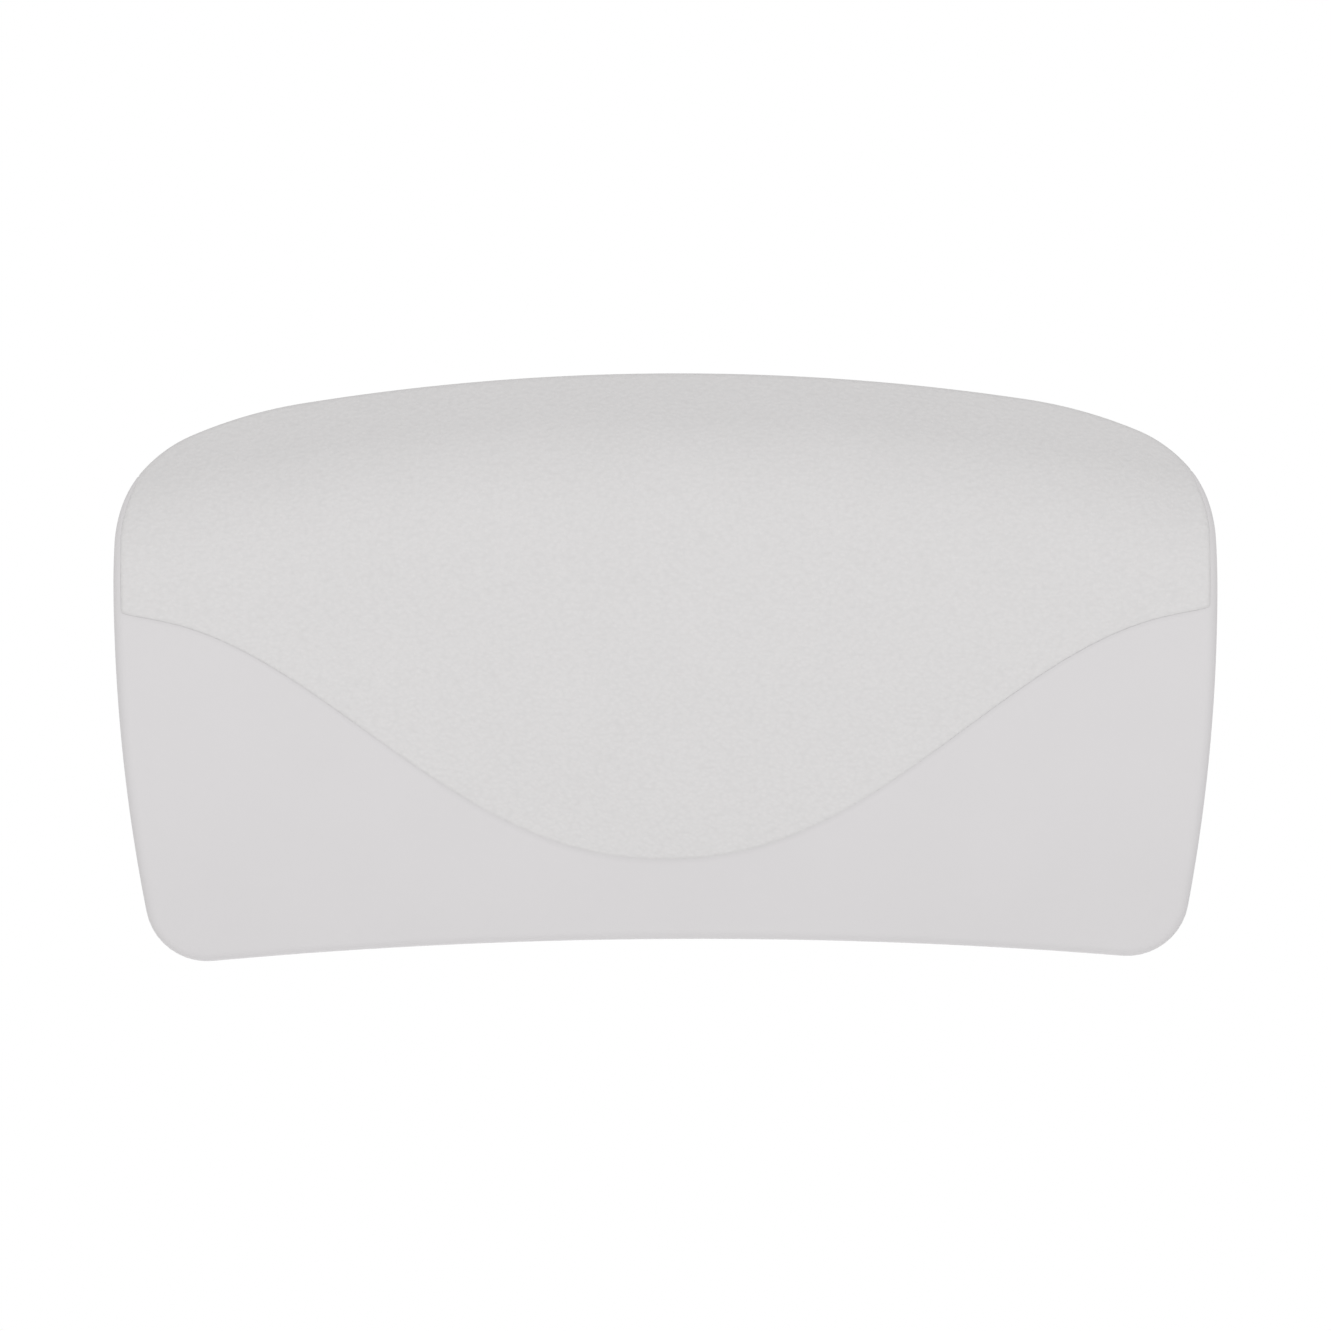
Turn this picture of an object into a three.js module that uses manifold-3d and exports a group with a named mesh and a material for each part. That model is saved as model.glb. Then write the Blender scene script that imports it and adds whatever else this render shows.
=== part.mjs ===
// Hot tub headrest: a moulded foam cushion with a grained head panel, carried on a rigid plate
// whose two barbed plugs push into holes in the tub wall.
// Millimetres. +X runs along the headrest, +Y back into the tub wall, +Z up.
// The origin lies on the back face, midway between the two plugs.
import * as THREE from 'three';
import { mergeVertices } from 'three/addons/utils/BufferGeometryUtils.js';
import Module from 'manifold-3d';

const wasm = await Module();
wasm.setup();

// Clearance between pieces that touch.
const CLEARANCE = 0.3;

// Front outline of the cushion, made of tangent arcs. Heights are above its two lowest corners.
const WIDTH = 290;
const HEIGHT = 155.5;
const PLUG_HEIGHT = 84;
const WIDEST_HEIGHT = 100;
const TOP_RADIUS = 630;
const HAUNCH_FROM_SIDE = 48;
const HAUNCH_RADIUS = 115;
const SHOULDER_RADIUS = 32;
const SIDE_RADIUS = 540;
const CORNER_RADIUS = 16;
const BOTTOM_RISE = 5.3;

// Depth of the cushion, and how its front falls away to the bottom and rolls back at the top.
const DEPTH = 54;
const BOTTOM_FALL = 16;
const ROLL_RADIUS = 39;
const ROLL_ANGLE = THREE.MathUtils.degToRad(48);
const ROLL_FLAT = 12.5;
const FRONT_EDGE_RADIUS = 3;
const BACK_EDGE_BEVEL = 1.5;

// Grained head panel: an S-shaped lower edge that ends below the widest level, a narrow border that
// runs out below the top, and a back edge on top whose rounded corners sweep forward to the run-outs.
const PANEL_RECESS = 1.4;
const PANEL_PROUD = 0.6;
const PANEL_LOW_HEIGHT = 26.9;
const PANEL_SIDE_DROP = 8.7;
const PANEL_SWEEP_POWER = 1.1;
const PANEL_BORDER = 2.2;
const PANEL_BORDER_END_DROP = 27;
const PANEL_BACK_EDGE = 8;
const PANEL_CORNER_LENGTH = 44;
const PANEL_CORNER_DEPTH = 22;

// Rigid carrier plate in the back of the foam.
const PLUG_SPACING = 127;
const PLATE_WALL = 3;
const LAND_END_MARGIN = 26.5;
const LAND_HEIGHT = 42;
const LAND_CORNER_RADIUS = 12;
const FLANGE_WIDTH = 8;
const RIB_THICKNESS = 2;
const RIB_HEIGHT = 8;
const KEY_HOLE_RADIUS = 4.5;
const KEY_HOLE_FROM_PLUG = 31.5;
const KEY_HOLE_FROM_EDGE = 10;
const PAD_WALL = 3;
const BOSS_WALL = 3.5;
const BOSS_FLOOR = 3;

// Screws, and the barbed plugs for 12.7 mm holes that they hold, with their inserts and seal rings.
const SCREW_RADIUS = 1.85;
const SCREW_LENGTH = 16;
const SCREW_HEAD_RADIUS = 3.7;
const SCREW_HEAD_RIM = 1.2;
const SCREW_HEAD_DOME = 1.4;
const SCREW_RECESS_WIDTH = 1;
const SCREW_RECESS_SPAN = 4.4;
const SCREW_RECESS_DEPTH = 1.4;
const SCREW_HEAD_CLEARANCE = 0.4;
const STEM_WALL = 1.15;
const STEM_FLOOR = 6;
const STEM_TIP = 2.2;
const STEM_SLOT_WIDTH = 2.2;
const STEM_SLOT_START = 7.5;
const BARB_HEIGHT = 1.65;
const BARB_COUNT = 3;
const BARB_PITCH = 4.6;
const BARB_START = 8;
const PLUG_FLANGE_THICKNESS = 2.5;
const PLUG_FLANGE_LIP = 2;
const SEAL_WIDTH = 4.45;
const SEAL_THICKNESS = 2;
const SEAL_PROUD = 0.6;
const INSERT_WALL = 1.05;
const INSERT_LENGTH = 9.5;
const INSERT_GROOVE_DEPTH = 0.5;
const INSERT_GROOVE_WIDTH = 1.6;

// Facets.
const TOP_STEPS = 3;
const HAUNCH_STEPS = 2;
const SHOULDER_STEPS = 5;
const UPPER_SIDE_STEPS = 1;
const LOWER_SIDE_STEPS = 2;
const CORNER_STEPS = 4;
const BOTTOM_STEPS = 3;
const EDGE_STEPS = 2;
const FRONT_STEPS = 7;
const FRONT_STEP_POWER = 1.2;
const FRONT_SPINE = 0.5;
const SWEEP_STEPS = 24;
const BORDER_STEPS = 4;
const PANEL_CORNER_STEPS = 5;
const ROUND_STEPS = 32;
const HIDDEN_ROUND_STEPS = 12;
const PLATE_CORNER_STEPS = 4;
const SCREW_DOME_STEPS = 4;
const SEAL_RIM_STEPS = 4;

// Lengths that only help the working out: how far a cut runs past a face, and a step for slopes.
const OVERCUT = 1;
const SLOPE_STEP = 0.05;

const materials = {
  cushion: new THREE.MeshStandardMaterial({ color: 0xd8d7d6, roughness: 0.62, metalness: 0 }),
  panel: new THREE.MeshStandardMaterial({ color: 0xdad9d8, roughness: 0.7, metalness: 0 }),
  plate: new THREE.MeshStandardMaterial({ color: 0x4b4d50, roughness: 0.5, metalness: 0 }),
  plug: new THREE.MeshStandardMaterial({ color: 0x232426, roughness: 0.42, metalness: 0 }),
  seal: new THREE.MeshStandardMaterial({ color: 0x18181a, roughness: 0.8, metalness: 0 }),
  screw: new THREE.MeshStandardMaterial({ color: 0xb9bbbd, roughness: 0.3, metalness: 1 }),
  insert: new THREE.MeshStandardMaterial({ color: 0xb08d46, roughness: 0.35, metalness: 1 }),
};

// Solids for joining and cutting.

function solid(geometry) {
  geometry.deleteAttribute('normal');
  geometry.deleteAttribute('uv');
  const merged = mergeVertices(geometry, 1e-4);
  const corners = merged.index.array;
  const triangles = [];
  for (let i = 0; i < corners.length; i += 3) {
    const [a, b, c] = [corners[i], corners[i + 1], corners[i + 2]];
    if (a !== b && b !== c && c !== a) triangles.push(a, b, c);
  }
  return new wasm.Manifold(new wasm.Mesh({
    numProp: 3,
    vertProperties: Float32Array.from(merged.attributes.position.array),
    triVerts: Uint32Array.from(triangles),
  }));
}

function piece(name, body, material) {
  const { vertProperties, triVerts } = body.getMesh();
  const geometry = new THREE.BufferGeometry();
  geometry.setAttribute('position', new THREE.BufferAttribute(vertProperties, 3));
  geometry.setIndex(new THREE.BufferAttribute(triVerts, 1));
  geometry.computeVertexNormals();
  const mesh = new THREE.Mesh(geometry, material);
  mesh.name = name;
  return mesh;
}

const join = (...bodies) => bodies.reduce((whole, body) => whole.add(body));

// A shape in the XZ plane, run along Y from yBack forward to yFront.
function slab(shape, yBack, yFront) {
  const geometry = new THREE.ExtrudeGeometry(shape, {
    depth: yBack - yFront,
    bevelEnabled: false,
    curveSegments: PLATE_CORNER_STEPS,
  });
  return solid(geometry.rotateX(Math.PI / 2).translate(0, yBack, 0));
}

// A round bar along Y.
function bar(radius, yBack, yFront, x = 0, z = 0, steps = HIDDEN_ROUND_STEPS) {
  const geometry = new THREE.CylinderGeometry(radius, radius, yBack - yFront, steps);
  return solid(geometry.translate(x, (yBack + yFront) / 2, z));
}

function box(width, depth, height, x, y, z) {
  return solid(new THREE.BoxGeometry(width, depth, height).translate(x, y, z));
}

// A body turned about Y from [radius, y] pairs, listed from its front end to its back end.
function turned(profile, steps = ROUND_STEPS) {
  const points = profile.map(([radius, y]) => new THREE.Vector2(radius, y));
  return solid(new THREE.LatheGeometry(points, steps));
}

function roundedRectangle(width, height, radius) {
  const [right, top] = [width / 2 - radius, height / 2 - radius];
  const quarter = Math.PI / 2;
  const shape = new THREE.Shape();
  shape.absarc(right, top, radius, 0, quarter);
  shape.absarc(-right, top, radius, quarter, 2 * quarter);
  shape.absarc(-right, -top, radius, 2 * quarter, 3 * quarter);
  shape.absarc(right, -top, radius, 3 * quarter, 4 * quarter);
  shape.closePath();
  return shape;
}

// Outline of the cushion.

const level = (height) => height - PLUG_HEIGHT;
const angleTo = (from, to) => Math.atan2(to.y - from.y, to.x - from.x);

// The point at the given distances from two centres, on the upper right side.
function triangulate(a, reachA, b, reachB) {
  const span = a.distanceTo(b);
  const along = (reachA ** 2 - reachB ** 2 + span ** 2) / (2 * span);
  const across = Math.sqrt(reachA ** 2 - along ** 2);
  const direction = b.clone().sub(a).divideScalar(span);
  const foot = a.clone().addScaledVector(direction, along);
  const normal = new THREE.Vector2(direction.y, -direction.x);
  if (normal.x + normal.y < 0) normal.negate();
  return foot.addScaledVector(normal, across);
}

const topCentre = new THREE.Vector2(0, level(HEIGHT) - TOP_RADIUS);
const sideCentre = new THREE.Vector2(WIDTH / 2 - SIDE_RADIUS, level(WIDEST_HEIGHT));
const toHaunch = Math.acos((WIDTH / 2 - HAUNCH_FROM_SIDE) / TOP_RADIUS);
const haunchCentre = new THREE.Vector2(Math.cos(toHaunch), Math.sin(toHaunch))
  .multiplyScalar(TOP_RADIUS - HAUNCH_RADIUS)
  .add(topCentre);
const shoulderCentre = triangulate(
  haunchCentre, HAUNCH_RADIUS - SHOULDER_RADIUS, sideCentre, SIDE_RADIUS - SHOULDER_RADIUS);
const cornerReach = SIDE_RADIUS - CORNER_RADIUS;
const cornerRise = level(CORNER_RADIUS) - sideCentre.y;
const cornerCentre = new THREE.Vector2(
  sideCentre.x + Math.sqrt(cornerReach ** 2 - cornerRise ** 2), level(CORNER_RADIUS));
const bottomRadius =
  (cornerCentre.x ** 2 + BOTTOM_RISE ** 2 - 2 * CORNER_RADIUS * BOTTOM_RISE) / (2 * BOTTOM_RISE);
const bottomCentre = new THREE.Vector2(0, level(BOTTOM_RISE) - bottomRadius);

const toShoulder = angleTo(haunchCentre, shoulderCentre);
const toSide = angleTo(sideCentre, shoulderCentre);
const toCorner = angleTo(sideCentre, cornerCentre);
const cornerToBottom = angleTo(cornerCentre, bottomCentre);
const bottomToCorner = angleTo(bottomCentre, cornerCentre);

// The right half from the top centre round to the bottom centre: centre, radius, angles, steps, side.
const halfArcs = [
  [topCentre, TOP_RADIUS, Math.PI / 2, toHaunch, TOP_STEPS, 1],
  [haunchCentre, HAUNCH_RADIUS, toHaunch, toShoulder, HAUNCH_STEPS, 1],
  [shoulderCentre, SHOULDER_RADIUS, toShoulder, toSide, SHOULDER_STEPS, 1],
  [sideCentre, SIDE_RADIUS, toSide, 0, UPPER_SIDE_STEPS, 1],
  [sideCentre, SIDE_RADIUS, 0, toCorner, LOWER_SIDE_STEPS, 1],
  [cornerCentre, CORNER_RADIUS, toCorner, cornerToBottom, CORNER_STEPS, 1],
  [bottomCentre, bottomRadius, bottomToCorner, Math.PI / 2, BOTTOM_STEPS, -1],
];

// Points of the whole outline, with the direction that faces out of the cushion at each.
function outlinePoints() {
  const half = halfArcs.flatMap(([centre, radius, start, end, steps, side]) =>
    Array.from({ length: steps }, (_, i) => {
      const angle = start + (end - start) * i / steps;
      const out = new THREE.Vector2(Math.cos(angle), Math.sin(angle));
      return { at: centre.clone().addScaledVector(out, radius), out: out.multiplyScalar(side) };
    }));
  const bottom = { at: new THREE.Vector2(0, level(BOTTOM_RISE)), out: new THREE.Vector2(0, -1) };
  const flip = ({ at, out }) => ({
    at: new THREE.Vector2(-at.x, at.y),
    out: new THREE.Vector2(-out.x, out.y),
  });
  return [...half, bottom, ...half.slice(1).reverse().map(flip)];
}

const outline = outlinePoints();

// The arcs from the top centre to the corner.
const upperArcs = halfArcs.slice(0, -2);

// The side edge at a height between the corner and the top.
function sideReach(z) {
  const covers = ([centre, radius, , end]) => z > centre.y + radius * Math.sin(end);
  const [centre, radius] = upperArcs.find(covers);
  return centre.x + Math.sqrt(radius ** 2 - (z - centre.y) ** 2);
}

// Front of the cushion.

// How far the top rolls back: an arc, then a straight slope up to the crest. The bend follows the top
// arc, and runs on at that radius to the sides.
function rollBack(x, z) {
  const arcRise = ROLL_RADIUS * Math.sin(ROLL_ANGLE);
  const crest = topCentre.y + Math.sqrt(TOP_RADIUS ** 2 - x ** 2);
  const rise = z - (crest - ROLL_FLAT - arcRise);
  if (rise <= 0) return 0;
  if (rise < arcRise) return ROLL_RADIUS - Math.sqrt(ROLL_RADIUS ** 2 - rise ** 2);
  return ROLL_RADIUS * (1 - Math.cos(ROLL_ANGLE)) + (rise - arcRise) * Math.tan(ROLL_ANGLE);
}

// Thickness of the cushion at a point of the front.
function frontDepth(x, z) {
  const fall = Math.max(level(WIDEST_HEIGHT) - z, 0) / WIDEST_HEIGHT;
  return DEPTH - BOTTOM_FALL * fall ** 2 - rollBack(x, z);
}

function frontNormal(x, z) {
  const acrossX = frontDepth(x + SLOPE_STEP, z) - frontDepth(x - SLOPE_STEP, z);
  const acrossZ = frontDepth(x, z + SLOPE_STEP) - frontDepth(x, z - SLOPE_STEP);
  return new THREE.Vector3(-acrossX, -2 * SLOPE_STEP, -acrossZ).normalize();
}

// The cushion's skin as rings from the back face to the middle of the front, moved out by a distance.
function cushionForm(outwards) {
  const middle = new THREE.Vector2(0, level(HEIGHT / 2));
  const columns = outline.map(({ at, out }) => {
    const place = (inset, depth, normal) =>
      new THREE.Vector3(at.x - out.x * inset, -depth, at.y - out.y * inset)
        .addScaledVector(normal, outwards);
    const sideways = new THREE.Vector3(out.x, 0, out.y);
    const target = new THREE.Vector2(at.x * FRONT_SPINE, middle.y);
    const inside = at.clone().addScaledVector(out, -SLOPE_STEP);
    const slope = (frontDepth(inside.x, inside.y) - frontDepth(at.x, at.y)) / SLOPE_STEP;
    const edgeDepth = frontDepth(at.x, at.y)
      + FRONT_EDGE_RADIUS * (slope - Math.sqrt(1 + slope ** 2));
    const turn = Math.atan2(1, slope);
    const column = [place(BACK_EDGE_BEVEL, 0, sideways), place(0, BACK_EDGE_BEVEL, sideways)];
    for (let i = 0; i <= EDGE_STEPS; i += 1) {
      const angle = turn * i / EDGE_STEPS;
      const normal = sideways.clone().multiplyScalar(Math.cos(angle)).setY(-Math.sin(angle));
      const inset = FRONT_EDGE_RADIUS * (1 - Math.cos(angle));
      column.push(place(inset, edgeDepth + FRONT_EDGE_RADIUS * Math.sin(angle), normal));
    }
    for (let i = 1; i < FRONT_STEPS; i += 1) {
      const p = at.clone().lerp(target, (i / FRONT_STEPS) ** FRONT_STEP_POWER);
      const skin = new THREE.Vector3(p.x, -frontDepth(p.x, p.y), p.y);
      column.push(skin.addScaledVector(frontNormal(p.x, p.y), outwards));
    }
    return column;
  });
  const front = new THREE.Vector3(middle.x, -frontDepth(middle.x, middle.y), middle.y)
    .addScaledVector(frontNormal(middle.x, middle.y), outwards);
  const back = new THREE.Vector3(middle.x, 0, middle.y);
  return loft(columns, back, front);
}

// A closed skin through columns of points, drawn together to one point at each end.
function loft(columns, firstPole, lastPole) {
  const points = [...columns.flat(), firstPole, lastPole];
  const rings = columns[0].length;
  const first = columns.length * rings;
  const triangles = [];
  columns.forEach((_, i) => {
    const here = i * rings;
    const next = ((i + 1) % columns.length) * rings;
    triangles.push(first, here, next);
    for (let k = 0; k < rings - 1; k += 1) {
      triangles.push(here + k, here + k + 1, next + k);
      triangles.push(next + k, here + k + 1, next + k + 1);
    }
    triangles.push(here + rings - 1, first + 1, next + rings - 1);
  });
  const geometry = new THREE.BufferGeometry().setFromPoints(points);
  geometry.setIndex(triangles);
  return solid(geometry);
}

// Head panel.

const panelSideLevel = level(WIDEST_HEIGHT - PANEL_SIDE_DROP);
const panelEndLevel = level(HEIGHT - PANEL_BORDER_END_DROP);

// The S-shaped lower edge, level in the middle and swept up to both sides.
function sweepLevel(x) {
  const share = Math.min(Math.abs(x) / (WIDTH / 2 - PANEL_BORDER), 1);
  const rise = (1 - Math.cos(Math.PI * share ** PANEL_SWEEP_POWER)) / 2;
  return level(PANEL_LOW_HEIGHT) + (panelSideLevel - level(PANEL_LOW_HEIGHT)) * rise;
}

const mirrored = (points) => points.map((p) => new THREE.Vector2(-p.x, p.y)).reverse();
const beyond = new THREE.Vector2(WIDTH, level(HEIGHT) + DEPTH);

// The space that the panel fills, drawn in all round by a margin.
function panelSpace(margin) {
  return panelFace(margin).intersect(panelPlan(margin));
}

// The panel's outline from the front, run back through the cushion.
function panelFace(margin) {
  const sides = Array.from({ length: BORDER_STEPS }, (_, i) => {
    const share = i / BORDER_STEPS;
    const z = panelSideLevel + (panelEndLevel - panelSideLevel) * share;
    return new THREE.Vector2(sideReach(z) - PANEL_BORDER * Math.sqrt(1 - share ** 2) - margin, z);
  });
  sides[0].y += margin;
  const end = panelEndLevel + margin;
  const right = [
    ...sides,
    new THREE.Vector2(sideReach(end) - margin, end),
    new THREE.Vector2(beyond.x, end),
    beyond,
  ];
  const low = Array.from({ length: SWEEP_STEPS - 1 }, (_, i) => {
    const x = sides[0].x * (2 * (i + 1) / SWEEP_STEPS - 1);
    const slope = (sweepLevel(x + SLOPE_STEP) - sweepLevel(x - SLOPE_STEP)) / (2 * SLOPE_STEP);
    return new THREE.Vector2(x, sweepLevel(x) + margin * Math.sqrt(1 + slope ** 2));
  });
  return slab(new THREE.Shape([...low, ...right, ...mirrored(right)]), 0, -2 * DEPTH);
}

// The panel's outline from above, run down through the cushion.
function panelPlan(margin) {
  const back = -PANEL_BACK_EDGE - margin;
  const runOut = sideReach(panelEndLevel + margin) - margin;
  const corner = Array.from({ length: PANEL_CORNER_STEPS + 1 }, (_, i) => {
    const angle = (i / PANEL_CORNER_STEPS) * Math.PI / 2;
    const x = runOut - PANEL_CORNER_LENGTH * (1 - Math.sin(angle));
    return new THREE.Vector2(x, back - PANEL_CORNER_DEPTH * (1 - Math.cos(angle)));
  });
  const right = [
    new THREE.Vector2(beyond.x, -2 * DEPTH),
    new THREE.Vector2(beyond.x, back - PANEL_CORNER_DEPTH),
    ...corner.reverse(),
  ];
  const shape = new THREE.Shape([...right, ...mirrored(right)]);
  const rise = beyond.y - level(0);
  const geometry = new THREE.ExtrudeGeometry(shape, { depth: rise, bevelEnabled: false });
  return solid(geometry.translate(0, 0, level(0)));
}

// Sizes along and around the axis of a plug, which its seat in the carrier plate shares.

const screwHoleRadius = SCREW_RADIUS + CLEARANCE;
const insertRadius = screwHoleRadius + INSERT_WALL;
const stemBoreRadius = SCREW_HEAD_RADIUS + SCREW_HEAD_CLEARANCE;
const stemRadius = stemBoreRadius + STEM_WALL;
const stemEnd = BARB_START + BARB_COUNT * BARB_PITCH + STEM_TIP;
const sealInnerRadius = stemRadius + CLEARANCE;
const sealRadius = sealInnerRadius + SEAL_WIDTH;
const plugFlangeRadius = sealRadius + PLUG_FLANGE_LIP;
const sealFront = SEAL_PROUD - SEAL_THICKNESS;
const flangeBack = sealFront - CLEARANCE;
const flangeFront = flangeBack - PLUG_FLANGE_THICKNESS;
const counterboreDepth = CLEARANCE - flangeFront;
const screwSeat = flangeFront + STEM_FLOOR;
const screwHeadFront = screwSeat + CLEARANCE;
const screwTip = screwHeadFront - SCREW_LENGTH;

// Carrier plate.

const plugPlaces = [-PLUG_SPACING / 2, PLUG_SPACING / 2];
const landLength = PLUG_SPACING + 2 * LAND_END_MARGIN;
const counterboreRadius = plugFlangeRadius + CLEARANCE;
const padRadius = counterboreRadius + PAD_WALL;
const padDepth = counterboreDepth + PLATE_WALL;
const insertBoreRadius = insertRadius + CLEARANCE;
const insertBoreDepth = Math.max(counterboreDepth + INSERT_LENGTH, -screwTip) + 2 * CLEARANCE;
const bossRadius = insertBoreRadius + BOSS_WALL;
const bossDepth = insertBoreDepth + BOSS_FLOOR;

// The plate without its holes, grown by a margin on every embedded face.
function plateBlank(margin, backFace) {
  const outer = (grow) => roundedRectangle(
    landLength + 2 * grow, LAND_HEIGHT + 2 * grow, LAND_CORNER_RADIUS + grow);
  const flange = outer(FLANGE_WIDTH + margin);
  flange.holes.push(outer(-PLATE_WALL - margin));
  const ribFront = PLATE_WALL + RIB_HEIGHT + margin;
  const ribMiddle = -(PLATE_WALL / 2 + ribFront) / 2;
  const ribDepth = ribFront - PLATE_WALL / 2;
  const ribWidth = RIB_THICKNESS + 2 * margin;
  const crossRib = LAND_HEIGHT - PLATE_WALL;
  return join(
    slab(outer(margin), backFace, -PLATE_WALL - margin),
    slab(flange, margin - PLATE_WALL, -2 * PLATE_WALL - margin),
    box(landLength - PLATE_WALL, ribDepth, ribWidth, 0, ribMiddle, 0),
    ...plugPlaces.map((x) => box(ribWidth, ribDepth, crossRib, x, ribMiddle, 0)),
    ...plugPlaces.map((x) => bar(padRadius + margin, -PLATE_WALL / 2, -padDepth - margin, x)),
    ...plugPlaces.map((x) => bar(bossRadius + margin, -PLATE_WALL / 2, -bossDepth - margin, x)),
  );
}

function keyHoles(margin) {
  const reachX = PLUG_SPACING / 2 - KEY_HOLE_FROM_PLUG;
  const reachZ = LAND_HEIGHT / 2 - KEY_HOLE_FROM_EDGE;
  const places = [[-reachX, -reachZ], [-reachX, reachZ], [reachX, -reachZ], [reachX, reachZ]];
  const through = PLATE_WALL + OVERCUT;
  return join(...places.map(([x, z]) =>
    bar(KEY_HOLE_RADIUS - margin, OVERCUT, -through, x, z)));
}

function carrierPlate() {
  const counterbores = plugPlaces.map((x) =>
    bar(counterboreRadius, OVERCUT, -counterboreDepth, x, 0, ROUND_STEPS));
  const insertBores = plugPlaces.map((x) => bar(insertBoreRadius, OVERCUT, -insertBoreDepth, x));
  return plateBlank(0, 0).subtract(join(...counterbores, ...insertBores, keyHoles(0)));
}

function cushionBody() {
  const recess = panelSpace(0).subtract(cushionForm(-PANEL_RECESS));
  const pocket = plateBlank(CLEARANCE, OVERCUT).subtract(keyHoles(CLEARANCE));
  return cushionForm(0).subtract(recess).subtract(pocket);
}

function headPanel() {
  const skin = cushionForm(PANEL_PROUD).subtract(cushionForm(CLEARANCE - PANEL_RECESS));
  return skin.intersect(panelSpace(CLEARANCE));
}

// Plugs, with the pieces on their axis.

function mountingPlug() {
  const barbs = Array.from({ length: BARB_COUNT }, (_, i) => {
    const root = BARB_START + i * BARB_PITCH;
    return [[stemRadius, root], [stemRadius + BARB_HEIGHT, root], [stemRadius, root + BARB_PITCH]];
  }).flat();
  const mouthRadius = (stemRadius + stemBoreRadius) / 2;
  const plug = turned([
    [screwHoleRadius, screwSeat],
    [screwHoleRadius, flangeFront],
    [plugFlangeRadius, flangeFront],
    [plugFlangeRadius, flangeBack],
    [stemRadius, flangeBack],
    ...barbs,
    [mouthRadius, stemEnd],
    [stemBoreRadius, stemEnd],
    [stemBoreRadius, screwSeat],
    [screwHoleRadius, screwSeat],
  ]);
  const slotLength = stemEnd - STEM_SLOT_START + OVERCUT;
  const slotMiddle = STEM_SLOT_START + slotLength / 2;
  const span = 2 * (stemRadius + BARB_HEIGHT) + OVERCUT;
  const slots = join(
    box(span, slotLength, STEM_SLOT_WIDTH, 0, slotMiddle, 0),
    box(STEM_SLOT_WIDTH, slotLength, span, 0, slotMiddle, 0),
  );
  return plug.subtract(slots);
}

function plugScrew() {
  const rimBack = screwHeadFront + SCREW_HEAD_RIM;
  const headBack = rimBack + SCREW_HEAD_DOME;
  const dome = Array.from({ length: SCREW_DOME_STEPS }, (_, i) => {
    const angle = (i / SCREW_DOME_STEPS) * Math.PI / 2;
    return [SCREW_HEAD_RADIUS * Math.cos(angle), rimBack + SCREW_HEAD_DOME * Math.sin(angle)];
  });
  const screw = turned([
    [0, screwTip],
    [SCREW_RADIUS / 2, screwTip],
    [SCREW_RADIUS, screwTip + SCREW_RADIUS],
    [SCREW_RADIUS, screwHeadFront],
    [SCREW_HEAD_RADIUS, screwHeadFront],
    ...dome,
    [0, headBack],
  ]);
  const recessMiddle = headBack + (OVERCUT - SCREW_RECESS_DEPTH) / 2;
  const recessDepth = SCREW_RECESS_DEPTH + OVERCUT;
  return screw.subtract(join(
    box(SCREW_RECESS_SPAN, recessDepth, SCREW_RECESS_WIDTH, 0, recessMiddle, 0),
    box(SCREW_RECESS_WIDTH, recessDepth, SCREW_RECESS_SPAN, 0, recessMiddle, 0),
  ));
}

function threadedInsert() {
  const back = -counterboreDepth;
  const front = back - INSERT_LENGTH;
  const middle = (back + front) / 2;
  const grooveRadius = insertRadius - INSERT_GROOVE_DEPTH;
  return turned([
    [screwHoleRadius, front],
    [insertRadius, front],
    [insertRadius, middle - INSERT_GROOVE_WIDTH / 2],
    [grooveRadius, middle - INSERT_GROOVE_WIDTH / 2],
    [grooveRadius, middle + INSERT_GROOVE_WIDTH / 2],
    [insertRadius, middle + INSERT_GROOVE_WIDTH / 2],
    [insertRadius, back],
    [screwHoleRadius, back],
    [screwHoleRadius, front],
  ]);
}

function sealRing() {
  const half = SEAL_THICKNESS / 2;
  const rim = Array.from({ length: SEAL_RIM_STEPS + 1 }, (_, i) => {
    const angle = (i / SEAL_RIM_STEPS - 0.5) * Math.PI;
    return [sealRadius - half + half * Math.cos(angle), sealFront + half + half * Math.sin(angle)];
  });
  return turned([
    [sealInnerRadius, sealFront],
    ...rim,
    [sealInnerRadius, SEAL_PROUD],
    [sealInnerRadius, sealFront],
  ]);
}

function plugSet(side, x) {
  const set = new THREE.Group();
  set.add(
    piece(`threaded_insert_${side}`, threadedInsert(), materials.insert),
    piece(`mounting_plug_${side}`, mountingPlug(), materials.plug),
    piece(`plug_screw_${side}`, plugScrew(), materials.screw),
    piece(`seal_ring_${side}`, sealRing(), materials.seal),
  );
  set.position.x = x;
  return set;
}

const headrest = new THREE.Group();
headrest.name = 'hot_tub_headrest';
headrest.add(
  piece('cushion_body', cushionBody(), materials.cushion),
  piece('head_panel', headPanel(), materials.panel),
  piece('carrier_plate', carrierPlate(), materials.plate),
  plugSet('left', plugPlaces[0]),
  plugSet('right', plugPlaces[1]),
);

export default headrest;
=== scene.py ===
# Hot tub headrest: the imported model, dressed with a moulded cushion, a grained head panel and fittings.
import math

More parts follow.
